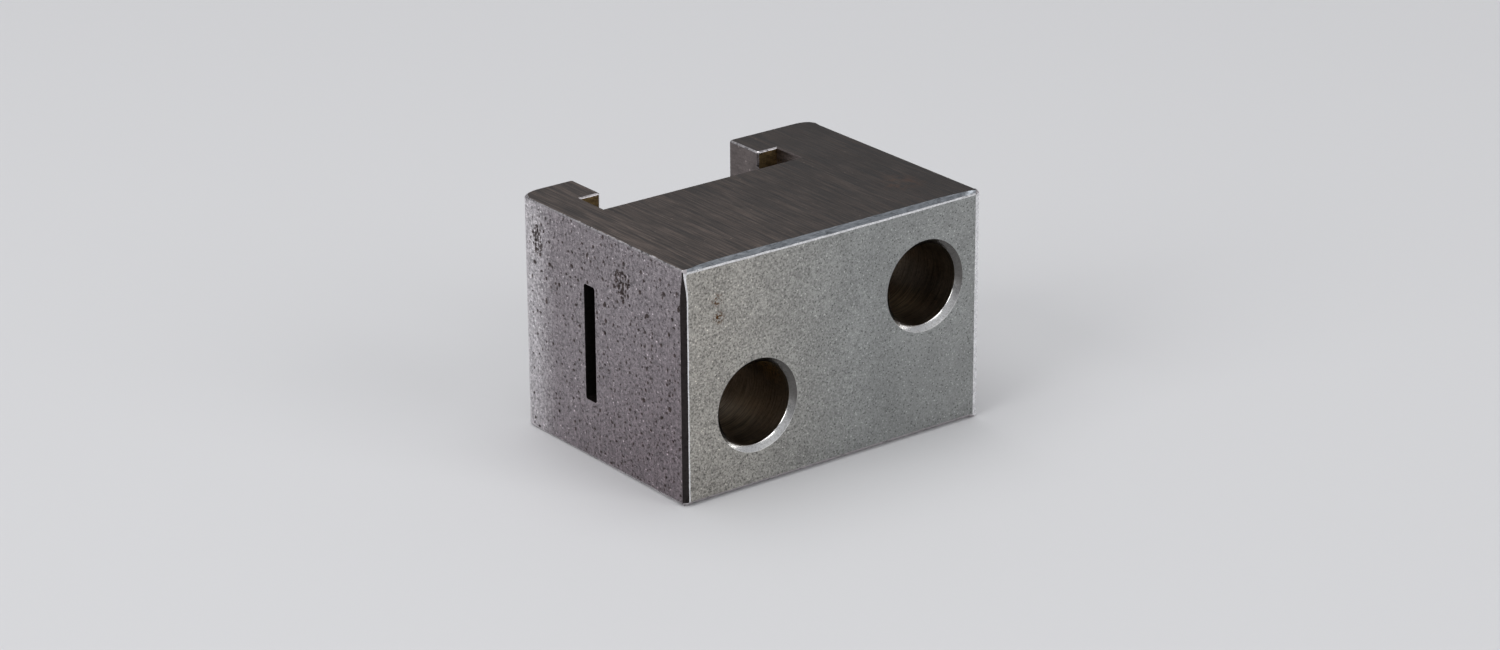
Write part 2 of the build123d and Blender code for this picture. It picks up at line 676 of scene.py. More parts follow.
        # the lips' chamfered tips, and the front right corner: the lattice corner point goes to
        # the middle of its chamfer
        corners = [(m, row) for m in self.mouth for row in (last_y, self.lip_row)]
        for i, j in corners + [(last_x, 0)]:
            s = self.find(i, j)
            px[s] = 0.5 * (px[s - 1] + px[s + 1])
            py[s] = 0.5 * (py[s - 1] + py[s + 1])

        # the front left corner: a dark chamfer that tapers towards the top, with a ridge
        # on its front side that is widest at the top and is painted bright as a highlight
        corner = TaperedCorner()
        below_top = b.top - z[0]
        taper = corner.least + (1 - corner.least) * ease(below_top, 0.0, corner.taper)
        side = b.left_chamfer_side * taper + 0.01 * wander(z[0], 1.7, 11.0)
        on_front = b.left_chamfer_front * taper + 0.012 * wander(z[0], 1.1, 12.0)
        ridge = corner.ridge + corner.flare * np.exp(-below_top / corner.flare_length)
        ridge += 0.02 * wander(z[0], 0.8, 13.0)
        chamfer = [(0, 2), (0, 1), (0, 0), (1, 0)]
        for share, place in zip((0.0, 0.36, 0.68, 1.0), chamfer):
            s = self.find(*place)
            px[s] = b.left + on_front * share
            py[s] = b.front + side * (1 - share)
        py[self.find(1, 0)] = b.front + corner.set_back
        px[self.find(2, 0)] = b.left + on_front + ridge

        # the fine columns beside the chamfer spread out to its border
        start, end = g.y[2], g.y[3]
        columns = slice(self.find(0, 3), self.find(0, 2) + 1)
        level = np.interp(self.places[columns, 1], np.arange(len(g.y)), g.y)
        share = (end - level[:, None]) / (end - start)
        py[columns] = end - share * (end - (b.front + side))

    @staticmethod
    def _inward(x: np.ndarray, y: np.ndarray) -> np.ndarray:
        """Direction in plan in which each outline point moves when its sides are inset.

        For unit normals m and n of the two cells that meet at a point it is -(m + n) / (1 + m.n),
        so that a point inset by one length stays on both inset sides.
        """
        dx, dy = np.roll(x, -1) - x, np.roll(y, -1) - y
        length = np.hypot(dx, dy)
        after = np.stack([dy / length, -dx / length], axis=1)
        before = np.roll(after, 1, axis=0)
        dot = (after * before).sum(axis=1, keepdims=True)
        return -(after + before) / (1 + dot)


# ---- the left end's pits ----------------------------------------------------------------------


@dataclass(frozen=True)
class PitField:
    """One size of pit, at most one in each cell of a jittered square grid.

    Each pit is a bowl whose depth falls off as (1 - r^2)^2 to its rim, r being the distance from
    its middle over its radius.
    """

    pitch: float
    radius: tuple[float, float]
    depth: tuple[float, float]
    share: Callable[[np.ndarray, np.ndarray], np.ndarray]
    salt: float

    def depth_at(self, y: np.ndarray, z: np.ndarray) -> np.ndarray:
        """Depth of the pits at points of the end face.

        Args:
            y: places along the end face.
            z: heights.

        Returns:
            Depth below the face at each point.
        """
        total = np.zeros_like(y)
        cell_y, cell_z = np.floor(y / self.pitch), np.floor(z / self.pitch)
        for near_y in (-1, 0, 1):
            for near_z in (-1, 0, 1):
                i, j = cell_y + near_y, cell_z + near_z
                middle_y = (i + 0.15 + 0.7 * hashed(i, j, self.salt)) * self.pitch
                middle_z = (j + 0.15 + 0.7 * hashed(i, j, self.salt + 1)) * self.pitch
                size = hashed(i, j, self.salt + 2)
                radius = self.radius[0] + (self.radius[1] - self.radius[0]) * size
                depth = self.depth[0] + (self.depth[1] - self.depth[0]) * size
                there = hashed(i, j, self.salt + 3) < self.share(middle_y, middle_z)
                stretch = 0.75 + 0.5 * hashed(i, j, self.salt + 4)
                r2 = ((y - middle_y) * stretch) ** 2 + ((z - middle_z) / stretch) ** 2
                bowl = np.clip(1 - r2 / radius**2, 0, None) ** 2
                total = np.maximum(total, np.where(there, depth * bowl, 0.0))
        return total


def patch_of_pits(y: np.ndarray, z: np.ndarray, at: tuple[float, float],
                  reach: tuple[float, float]) -> np.ndarray:
    """How far a point is inside an oval patch: 1 in its middle, 0 outside it."""
    r = np.hypot((y - at[0]) / reach[0], (z - at[1]) / reach[1])
    return 1 - ease(r, 0.55, 1.1)


def towards_front(y: np.ndarray, z: np.ndarray) -> np.ndarray:
    """How much the face is eaten: little beside the back edge, most towards the front foot."""
    return ease(-y, -11.0, 2.5) * (0.55 + 0.45 * ease(-z, -19.0, -6.0))


def pit_fields() -> list[PitField]:
    """The sizes of pit on the left end, with where each is found."""
    def scattered(y: np.ndarray, z: np.ndarray) -> np.ndarray:
        return 0.3 + 0.4 * towards_front(y, z)

    def large(y: np.ndarray, z: np.ndarray) -> np.ndarray:
        return 0.42 * ease(z, 11.0, 18.0) * (1 - ease(z, 23.0, 24.2)) + 0.05

    def eaten(y: np.ndarray, z: np.ndarray) -> np.ndarray:
        return 0.12 + 0.68 * towards_front(y, z)

    def clusters(y: np.ndarray, z: np.ndarray) -> np.ndarray:
        first = patch_of_pits(y, z, (-3.9, 20.4), (1.5, 1.7))
        second = patch_of_pits(y, z, (10.7, 20.8), (1.0, 2.1))
        return 0.95 * np.maximum(first, second)

    return [
        PitField(1.5, (0.2, 0.36), (0.1, 0.2), large, 20.0),
        PitField(0.9, (0.15, 0.26), (0.06, 0.14), scattered, 30.0),
        PitField(0.6, (0.14, 0.24), (0.03, 0.08), eaten, 40.0),
        PitField(0.42, (0.18, 0.28), (0.16, 0.26), clusters, 50.0),
    ]


# ---- the skin ---------------------------------------------------------------------------------


WALL_FINISH: dict[Side, Finish] = {
    Side.FRONT: Finish.SPARK_ERODED,
    Side.FRONT_RIDGE: Finish.BURNISHED,
    Side.RIGHT_CHAMFER: Finish.BURNISHED,
    Side.RIGHT: Finish.GROUND_SIDE,
    Side.RIGHT_CORNER: Finish.GROUND_SIDE,
    Side.LIP_BACK: Finish.GROUND_SIDE,
    Side.LIP_TIP: Finish.BROKEN_EDGE,
    Side.LIP_END: Finish.SLOT_WALL,
    Side.LIP_INNER: Finish.LIP_INNER,
    Side.UNDERCUT: Finish.SLOT_WALL,
    Side.SLOT_FLOOR: Finish.SLOT_WALL,
    Side.LEFT_CORNER: Finish.PITTED,
    Side.LEFT: Finish.PITTED,
    Side.LEFT_CHAMFER: Finish.DARK_CHAMFER,
}


@dataclass
class BlockSkin:
    """The block's whole surface, as patches that meet point to point and one closed mesh."""

    sizes: BlockSizes
    ring_rows: int = 4             # rows of cells between a window and a bore's mouth
    wall_rings: int = 14
    slot_rings: int = 6
    lattice: Lattice = field(init=False)
    wall: Wall = field(init=False)
    patches: list[Patch] = field(default_factory=list)

    def __post_init__(self) -> None:
        """Lays the lattice and the wall that all patches start from."""
        self.lattice = Lattice(self.sizes)
        self.wall = Wall(self.sizes, self.lattice)

    # -- wall

    def _windows(self) -> tuple[tuple[int, int, int, int], ...]:
        """Lattice columns and wall rows of the windows round the bores.

        Returns:
            For each of the front low, front high and back low windows: its first and last
            column, and its first and last row.
        """
        b, g, w = self.sizes, self.lattice, self.wall
        low, high, side = b.low_bore, b.high_bore, g.window
        low_rows = (w.row_at(low.z - side), w.row_at(low.z + side))
        high_rows = (w.row_at(high.z - side), w.row_at(high.z + side))
        shift = b.undercut_left - (low.x - side)
        return (
            (line_at(g.x, low.x - side), line_at(g.x, low.x + side), *low_rows),
            (line_at(g.x, high.x - side), line_at(g.x, b.right - b.back_radius), *high_rows),
            (line_at(g.x, b.undercut_left), line_at(g.x, low.x + side + shift), *low_rows),
        )

    def add_wall(self) -> None:
        """The upright sides and the broken edges, apart from the left end's own face."""
        w = self.wall
        rows = w.points.shape[1]
        low, high = w.first_face_row, w.last_face_row
        closed = np.concatenate([w.points, w.points[:1]])
        cells = len(w.sides)
        keep = np.ones((cells, rows - 1), bool)
        columns = w.places[:, 0]
        front_low, front_high, back_low = self._windows()
        on_front = w.side_index == Side.FRONT.value
        for first, last, start, end in (front_low, front_high):
            keep[on_front & (columns >= first) & (columns < last), start:end] = False
        on_floor = w.side_index == Side.SLOT_FLOOR.value
        back_high = (front_high[0], w.undercut[1], *front_high[2:])
        for first, last, start, end in (back_low, back_high):
            keep[on_floor & (columns > first) & (columns <= last), start:end] = False
        left = w.cells_of(Side.LEFT)
        keep[left[0] - 1:left[-1] + 2, low:high] = False

        finish = np.array([WALL_FINISH[side].index for side in w.sides])
        finish = np.repeat(finish[:, None], rows - 1, axis=1)
        finish[:, :low] = Finish.BROKEN_EDGE.index
        finish[:, high:] = Finish.BROKEN_EDGE.index
        # the line at the foot of the filed flat carries the painted highlight
        finish[on_front, high] = Finish.BURNISHED.index
        finish[on_front, high + 1:] = Finish.FILED.index
        slot = np.isin(w.side_index, [Side.SLOT_FLOOR.value, Side.UNDERCUT.value])
        finish[slot, :low] = Finish.SLOT_WALL.index
        finish[slot, high:] = Finish.SLOT_WALL.index
        self.patches.append(grid_patch(closed, finish, keep))

        # the columns of cells on either side of the left end: their inner border is dense
        rows_used = slice(low, high + 1)
        for plain, dense in ((left[0] - 1, left[0]), (left[-1] + 2, left[-1] + 1)):
            own = WALL_FINISH[w.sides[min(plain, dense)]]
            coarse = w.points[plain, rows_used]
            self.patches.append(stepped_strip(coarse, self._fine_rows(dense), w.FINE, own))

    def _fine_rows(self, column: int) -> np.ndarray:
        """Points of one outline point's face rows, with the fine rows put between them."""
        w = self.wall
        coarse = w.points[column, w.first_face_row:w.last_face_row + 1]
        at = np.arange((len(coarse) - 1) * w.FINE + 1) / w.FINE
        return np.stack([np.interp(at, np.arange(len(coarse)), coarse[:, k]) for k in range(3)], 1)

    # -- level faces

    def add_level_faces(self) -> None:
        """The top and the underside.

        Their rims are the wall's last and first rows. Inside, a lattice point moves by the mean
        of its four neighbours' moves, worked out over and over, so that the rim's shift dies
        away inwards.
        """
        w, g = self.wall, self.lattice
        columns, rows = len(g.x), len(g.y)
        cell_x, cell_y = np.meshgrid(np.arange(columns - 1), np.arange(rows - 1), indexing="ij")
        in_neck = (cell_x >= w.mouth[0]) & (cell_x < w.mouth[1]) & (cell_y >= w.lip_row)
        in_undercut = (
            (cell_x >= w.undercut[0]) & (cell_x < w.undercut[1])
            & (cell_y >= w.floor_row) & (cell_y < w.lip_row)
        )
        solid = ~(in_neck | in_undercut)
        whole = np.abs(w.places - np.round(w.places)).sum(axis=1) < 1e-9
        numbers = np.flatnonzero(whole)
        i, j = np.round(w.places[numbers]).astype(int).T
        rim = np.zeros((columns, rows), bool)
        rim[i, j] = True
        touched = np.zeros((columns, rows), bool)
        for di in (0, 1):
            for dj in (0, 1):
                touched[di:columns - 1 + di, dj:rows - 1 + dj] |= solid
        inside = touched & ~rim
        nominal = np.stack(np.meshgrid(g.x, g.y, indexing="ij"), axis=-1)
        first, last = 2, rows - 1 - g.corner_cells
        keep = solid.copy()
        keep[0, first:last] = False
        for row, finish in ((-1, Finish.GROUND_TOP), (0, Finish.GROUND_SIDE)):
            shift = np.zeros((columns, rows, 2))
            shift[i, j] = w.points[numbers, row, :2] - nominal[i, j]
            for _ in range(400):
                mean = np.zeros_like(shift)
                mean[1:-1, 1:-1] = 0.25 * (
                    shift[2:, 1:-1] + shift[:-2, 1:-1] + shift[1:-1, 2:] + shift[1:-1, :-2]
                )
                shift[inside] = mean[inside]
            height = np.full((columns, rows, 1), w.points[0, row, 2])
            points = np.concatenate([nominal + shift, height], axis=-1)
            self.patches.append(grid_patch(points, np.array(finish.index), keep))
            dense = w.points[w.find(0, last):w.find(0, first) + 1, row][::-1]
            coarse = points[1, first:last + 1]
            self.patches.append(stepped_strip(coarse, dense, w.FINE, finish))

    # -- left end

    def add_left_end(self) -> None:
        """The pitted left end, on a grid fine enough for its pits, and the end slot."""
        w, b = self.wall, self.sizes
        cells = w.cells_of(Side.LEFT)
        numbers = np.append(cells, cells[-1] + 1)
        points = np.stack([self._fine_rows(s) for s in numbers])
        y, z = points[..., 1].copy(), points[..., 2].copy()

        depth = np.zeros_like(y)
        for pits in pit_fields():
            depth = np.maximum(depth, pits.depth_at(y, z))
        half_y, half_z = b.end_slot_width / 2, b.end_slot_height / 2
        from_slot = np.maximum(np.abs(y - b.end_slot_y) - half_y, np.abs(z - b.top / 2) - half_z)
        rim = ease(from_slot, 0.0, 0.25)
        rim[[0, -1]] = 0
        rim[:, [0, -1]] = 0
        points[..., 0] += depth * rim

        middle_y, middle_z = 0.5 * (y[:-1, 1:] + y[1:, :-1]), 0.5 * (z[:-1, 1:] + z[1:, :-1])
        in_slot = (
            (np.abs(middle_y - b.end_slot_y) < half_y) & (np.abs(middle_z - b.top / 2) < half_z)
        )
        self._round_slot_corners(points)
        self.patches.append(grid_patch(points, np.array(Finish.PITTED.index), ~in_slot))
        self._add_end_slot(points, in_slot)

    def _round_slot_corners(self, points: np.ndarray) -> None:
        """Moves the end face's points at the slot's corners onto arcs of the corner radius."""
        b = self.sizes
        radius = b.end_slot_corner
        off_y, off_z = points[..., 1] - b.end_slot_y, points[..., 2] - b.top / 2
        over_y = np.abs(off_y) - (b.end_slot_width / 2 - radius)
        over_z = np.abs(off_z) - (b.end_slot_height / 2 - radius)
        on_rim = np.abs(np.maximum(over_y, over_z) - radius) < 1e-6
        move = (over_y > 0) & (over_z > 0) & on_rim
        pull = radius / np.hypot(over_y, over_z)[move] - 1
        points[..., 1][move] += np.sign(off_y[move]) * over_y[move] * pull
        points[..., 2][move] += np.sign(off_z[move]) * over_z[move] * pull

    def _add_end_slot(self, points: np.ndarray, in_slot: np.ndarray) -> None:
        """Walls and bottom of the blind slot, from the hole left in the end face."""
        b = self.sizes
        columns = np.flatnonzero(in_slot.any(axis=1))
        rows = np.flatnonzero(in_slot.any(axis=0))
        c0, c1, r0, r1 = columns[0], columns[-1] + 1, rows[0], rows[-1] + 1
        ring = np.concatenate([
            points[c0:c1, r0], points[c1, r0:r1], points[c1:c0:-1, r1], points[c0, r1:r0:-1],
        ])
        depths = np.concatenate([[0.0, 0.05], np.linspace(0.45, b.end_slot_depth, self.slot_rings)])
        wall = np.repeat(ring[None], len(depths), axis=0)
        wall[..., 0] = b.left + depths[:, None]
        self.patches.append(grid_patch(wall, np.array(Finish.END_SLOT.index), closed=True))
        face = tuple(range(len(ring)))
        self.patches.append(Patch(wall[-1], [face], np.array([Finish.END_SLOT.index])))

    # -- bores

    def _perimeter(self, window: tuple[int, int, int, int], j: int) -> np.ndarray:
        """Points round a window, from its low left corner along the foot and then upwards."""
        w = self.wall
        first, last, start, end = window
        foot = [(i, start) for i in range(first, last)]
        right = [(last, t) for t in range(start, end)]
        head = [(i, end) for i in range(last, first, -1)]
        left = [(first, t) for t in range(end, start, -1)]
        return np.array([w.points[w.find(i, j), t] for i, t in foot + right + head + left])

    @staticmethod
    def _angles(ring: np.ndarray, bore: Bore) -> np.ndarray:
        """Directions of a ring's points as seen from the bore's axis, rising steadily."""
        return np.unwrap(np.arctan2(ring[:, 2] - bore.z, ring[:, 0] - bore.x))

    def _bore_rings(self, bore: Bore, start: np.ndarray, end: np.ndarray) -> list[np.ndarray]:
        """Rings of a bore: its mouth, its chamfer and its wall to the plane of the slot's floor.

        Each ring is the circle r (cos a, sin a) at one depth; its angles a go from those of the
        front window to those at the far end in proportion to the depth.

        Args:
            bore: the bore.
            start: angles of the points at the mouth.
            end: angles of the points at the far end.

        Returns:
            The rings, from the front inwards.
        """
        b = self.sizes
        length = b.floor_y - b.front
        crest = 0.025
        profile = [
            (bore.mouth + crest, 0.0),
            (bore.mouth, 0.3 * crest),
            (bore.mouth - crest, 1.2 * crest),
            (bore.radius + 0.5 * bore.chamfer, 0.5 * bore.chamfer + 0.005),
            (bore.radius + crest, bore.chamfer - crest),
            (bore.radius, bore.chamfer + crest),
        ]
        profile += [(bore.radius, depth) for depth in np.linspace(1.2, length, self.wall_rings)]
        rings = []
        for radius, depth in profile:
            angle = start + (end - start) * depth / length
            rings.append(np.stack([
                bore.x + radius * np.cos(angle),
                np.full_like(angle, b.front + depth),
                bore.z + radius * np.sin(angle),
            ], axis=1))
        return rings

    @staticmethod
    def _between(first: np.ndarray, last: np.ndarray, cells: int) -> list[np.ndarray]:
        """The rows strictly between two rows of points, in even steps."""
        return [first + (last - first) * n / cells for n in range(1, cells)]

    def _tube_finish(self, rows: int, after: int) -> np.ndarray:
        """Finish of each row of cells from a front window down a bore.

        Args:
            rows: number of rows of cells.
            after: number of rows of cells on the slot's floor, at the end.

        Returns:
            A column of finish indices.
        """
        finish = np.full(rows, Finish.BORE_WALL.index)
        finish[:self.ring_rows] = Finish.SPARK_ERODED.index
        finish[self.ring_rows:self.ring_rows + 5] = Finish.BORE_CHAMFER.index
        if after:
            finish[-after:] = Finish.SLOT_WALL.index
        return finish[:, None]

    def add_low_bore(self) -> None:
        """The low bore, from its front window through to its window in the slot's floor."""
        bore = self.sizes.low_bore
        front, _, back = self._windows()
        mouth = self._perimeter(front, 0)
        floor = self._perimeter(back, self.wall.floor_row)
        rings = self._bore_rings(bore, self._angles(mouth, bore), self._angles(floor, bore))
        rows = [mouth] + self._between(mouth, rings[0], self.ring_rows) + rings
        rows += self._between(rings[-1], floor, self.ring_rows - 1) + [floor]
        finish = self._tube_finish(len(rows) - 1, self.ring_rows - 1)
        self.patches.append(grid_patch(np.array(rows), finish, closed=True))

    def add_high_bore(self) -> None:
        """The high bore. Left of the undercut's right wall it opens into the slot; right of it,
        it ends blind in the plane of the slot's floor."""
        b, w = self.sizes, self.wall
        bore = b.high_bore
        _, front, _ = self._windows()
        first, last, start, end = front
        wall_column = w.undercut[1]
        mouth = self._perimeter(front, 0)
        count = len(mouth)
        foot_end = wall_column - first
        head_end = (last - first) + (end - start) + (last - wall_column)
        half = math.acos((b.undercut_right - bore.x) / bore.radius)
        far = np.interp(
            np.arange(count), [head_end - count, foot_end, head_end, count + foot_end],
            [half - 2 * math.pi, -half, half, 2 * math.pi - half],
        )
        rings = self._bore_rings(bore, self._angles(mouth, bore), far)
        rows = [mouth] + self._between(mouth, rings[0], self.ring_rows) + rings
        finish = self._tube_finish(len(rows) - 1, 0)
        self.patches.append(grid_patch(np.array(rows), finish, closed=True))

        # the slot's floor between the open part of the bore's end and the window's three sides
        j = w.floor_row
        head = [(i, end) for i in range(wall_column, first, -1)]
        side = [(first, t) for t in range(end, start, -1)]
        foot = [(i, start) for i in range(first, wall_column + 1)]
        border = np.array([w.points[w.find(i, j), t] for i, t in head + side + foot])
        arc = rings[-1][np.arange(head_end, count + foot_end + 1) % count]
        low_row, high_row = w.row_at(bore.z - b.chord), w.row_at(bore.z + b.chord)
        rows = [arc] + self._between(arc, border, end - high_row) + [border]
        self.patches.append(grid_patch(np.array(rows), np.array(Finish.SLOT_WALL.index)))

        # the blind part: one flat face between the rest of the ring and the foot of the wall
        blind = rings[-1][foot_end:head_end + 1]
        chord = w.points[w.find(wall_column, j), high_row - 1:low_row:-1]
        points = np.concatenate([blind, chord])
        face = tuple(range(len(points)))
        self.patches.append(Patch(points, [face], np.array([Finish.BORE_WALL.index])))

    # -- mesh

    def build(self) -> bpy.types.Object:
        """Makes every patch, joins them and writes the closed mesh.

        Returns:
            The object, at the origin, with its faces pointing outwards.
        """
        self.add_wall()
        self.add_level_faces()
        self.add_left_end()
        self.add_low_bore()
        self.add_high_bore()
        points = np.concatenate([patch.points for patch in self.patches]) * METRES
        starts = np.cumsum([0] + [len(patch.points) for patch in self.patches])
        faces = [
            tuple(start + corner for corner in face)
            for start, patch in zip(starts.tolist(), self.patches)
            for face in patch.faces
        ]
        finishes = np.concatenate([patch.finishes for patch in self.patches]).astype(np.int32)
        mesh = bpy.data.meshes.new("steel_block")
        mesh.from_pydata(points.tolist(), [], faces)
        mesh.polygons.foreach_set("material_index", finishes)
        mesh.polygons.foreach_set("use_smooth", np.ones(len(finishes), bool))
        joined = bmesh.new()
        joined.from_mesh(mesh)
        bmesh.ops.remove_doubles(joined, verts=joined.verts, dist=2e-4 * METRES)
        bmesh.ops.recalc_face_normals(joined, faces=joined.faces)
        if joined.calc_volume(signed=True) < 0:
            bmesh.ops.reverse_faces(joined, faces=joined.faces)
        loose = sum(1 for edge in joined.edges if len(edge.link_faces) != 2)
        log.info("skin volume %.0f mm3, open edges %d", joined.calc_volume() / METRES**3, loose)
        joined.to_mesh(mesh)
        joined.free()
        mesh.set_sharp_from_angle(angle=math.radians(24))
        block = bpy.data.objects.new("steel_block", mesh)
        bpy.context.scene.collection.objects.link(block)
        return block


# ---- finishes ---------------------------------------------------------------------------------


class NodeSheet:
    """The node tree of one material, drawn up with short calls.

    Patterns read Object coordinates, turned into millimetres.
    """

    def __init__(self, name: str) -> None:
        """Starts a material with a Principled shader and a coordinate in millimetres."""
        self.material = bpy.data.materials.new(name)
        self.material.use_nodes = True
        self.tree = self.material.node_tree
        self.tree.nodes.clear()
        self.output = self.tree.nodes.new("ShaderNodeOutputMaterial")
        self.shader = self.tree.nodes.new("ShaderNodeBsdfPrincipled")
        self.tree.links.new(self.shader.outputs["BSDF"], self.output.inputs["Surface"])
        coordinate = self.tree.nodes.new("ShaderNodeTexCoord")
        scale = self.tree.nodes.new("ShaderNodeMapping")
        scale.inputs["Scale"].default_value = (1 / METRES,) * 3
        self.tree.links.new(coordinate.outputs["Object"], scale.inputs["Vector"])
        self.mm = scale.outputs["Vector"]

    def _set(self, socket: bpy.types.NodeSocket, value: object) -> None:
        """Links an output to a socket, or sets the socket's own value."""
        if isinstance(value, bpy.types.NodeSocket):
            self.tree.links.new(value, socket)
        elif isinstance(value, tuple) and len(value) == 3:
            socket.default_value = (*value, 1)
        else:
            socket.default_value = value

    def stretched(self, scale: tuple[float, float, float],
                  shift: tuple[float, float, float] = (0, 0, 0)) -> bpy.types.NodeSocket:
        """The coordinate scaled and shifted along each axis."""
        node = self.tree.nodes.new("ShaderNodeMapping")
        node.inputs["Scale"].default_value = scale
        node.inputs["Location"].default_value = shift
        self.tree.links.new(self.mm, node.inputs["Vector"])
        return node.outputs["Vector"]

    def noise(self, scale: float, detail: float = 2.0, roughness: float = 0.5,
              vector: bpy.types.NodeSocket | None = None) -> bpy.types.NodeSocket:
        """A noise whose blobs are about 1/scale millimetres across."""
        node = self.tree.nodes.new("ShaderNodeTexNoise")
        node.inputs["Scale"].default_value = scale
        node.inputs["Detail"].default_value = detail
        node.inputs["Roughness"].default_value = roughness
        self.tree.links.new(self.mm if vector is None else vector, node.inputs["Vector"])
        return node.outputs["Fac"]

    def cells(self, scale: float, vector: bpy.types.NodeSocket | None = None
              ) -> bpy.types.NodeSocket:
        """Distance to the nearest of random points about 1/scale millimetres apart."""
        node = self.tree.nodes.new("ShaderNodeTexVoronoi")
        node.inputs["Scale"].default_value = scale
        self.tree.links.new(self.mm if vector is None else vector, node.inputs["Vector"])
        return node.outputs["Distance"]

    def ramp(self, value: bpy.types.NodeSocket, start: float, end: float, low: float = 0.0,
             high: float = 1.0, smooth: bool = True) -> bpy.types.NodeSocket:
        """Low before start, high after end, and a smooth or straight rise between them."""
        node = self.tree.nodes.new("ShaderNodeMapRange")
        node.interpolation_type = "SMOOTHSTEP" if smooth else "LINEAR"
        self._set(node.inputs["Value"], value)
        node.inputs["From Min"].default_value = start
        node.inputs["From Max"].default_value = end
        node.inputs["To Min"].default_value = low
        node.inputs["To Max"].default_value = high
        return node.outputs["Result"]

    def math(self, operation: str, a: object, b: object = 0.0) -> bpy.types.NodeSocket:
        """One arithmetic step."""
        node = self.tree.nodes.new("ShaderNodeMath")
        node.operation = operation
        self._set(node.inputs[0], a)
        self._set(node.inputs[1], b)
        return node.outputs["Value"]

    def product(self, *gains: bpy.types.NodeSocket) -> bpy.types.NodeSocket:
        """All the gains multiplied together."""
        total = gains[0]
        for gain in gains[1:]:
            total = self.math("MULTIPLY", total, gain)
        return total

    def axis(self, name: str) -> bpy.types.NodeSocket:
        """One of the coordinates X, Y and Z, in millimetres."""
        node = self.tree.nodes.new("ShaderNodeSeparateXYZ")
        self.tree.links.new(self.mm, node.inputs["Vector"])
        return node.outputs[name]

    def spot(self, middle: tuple[float, float, float], radius: float, soft: float
             ) -> bpy.types.NodeSocket:
        """1 inside a ball round a point, fading to 0 over the soft distance outside it."""
        node = self.tree.nodes.new("ShaderNodeVectorMath")
        node.operation = "DISTANCE"
        self.tree.links.new(self.mm, node.inputs[0])
        node.inputs[1].default_value = middle
        return self.ramp(node.outputs["Value"], radius, radius + soft, 1.0, 0.0)

    def mix(self, share: object, a: object, b: object) -> bpy.types.NodeSocket:
        """Colour a going over to colour b as share goes from 0 to 1."""
        node = self.tree.nodes.new("ShaderNodeMix")
        node.data_type = "RGBA"
        self._set(node.inputs["Factor"], share)
        self._set(node.inputs["A"], a)
        self._set(node.inputs["B"], b)
        return node.outputs["Result"]

    def scaled(self, colour: object, gain: bpy.types.NodeSocket) -> bpy.types.NodeSocket:
        """A colour times a gain that varies over the surface."""
        node = self.tree.nodes.new("ShaderNodeMix")
        node.data_type = "RGBA"
        node.blend_type = "MULTIPLY"
        node.inputs["Factor"].default_value = 1.0
        self._set(node.inputs["A"], colour)
        self.tree.links.new(gain, node.inputs["B"])
        return node.outputs["Result"]

    def bump(self, height: bpy.types.NodeSocket, distance: float, strength: float = 1.0,
             normal: bpy.types.NodeSocket | None = None) -> bpy.types.NodeSocket:
        """A normal from a height field; distance is the height's full range in millimetres."""
        node = self.tree.nodes.new("ShaderNodeBump")
        node.inputs["Strength"].default_value = strength
        node.inputs["Distance"].default_value = distance * METRES
        self.tree.links.new(height, node.inputs["Height"])
        if normal is not None:
            self.tree.links.new(normal, node.inputs["Normal"])
        return node.outputs["Normal"]

    def around(self, value: bpy.types.NodeSocket, middle: float, under: float, over: float
               ) -> bpy.types.NodeSocket:
        """A roughness that follows a pattern, from under the middle value to over it."""
        return self.ramp(value, 0.3, 0.7, middle - under, middle + over)

    def finish(self, colour: object, roughness: object, metallic: float,
               normal: bpy.types.NodeSocket | None = None) -> bpy.types.Material:
        """Wires the shader up and hands over the material."""
        self._set(self.shader.inputs["Base Color"], colour)
        self._set(self.shader.inputs["Roughness"], roughness)
        self.shader.inputs["Metallic"].default_value = metallic
        if normal is not None:
            self.tree.links.new(normal, self.shader.inputs["Normal"])
        return self.material


@dataclass(frozen=True)
class Steel(ABC):
    """One finish of the steel: its base colour, and how it is patterned."""

    name: str
    colour: Colour
    roughness: float = 0.42

    @abstractmethod
    def material(self) -> bpy.types.Material:
        """Builds the material."""


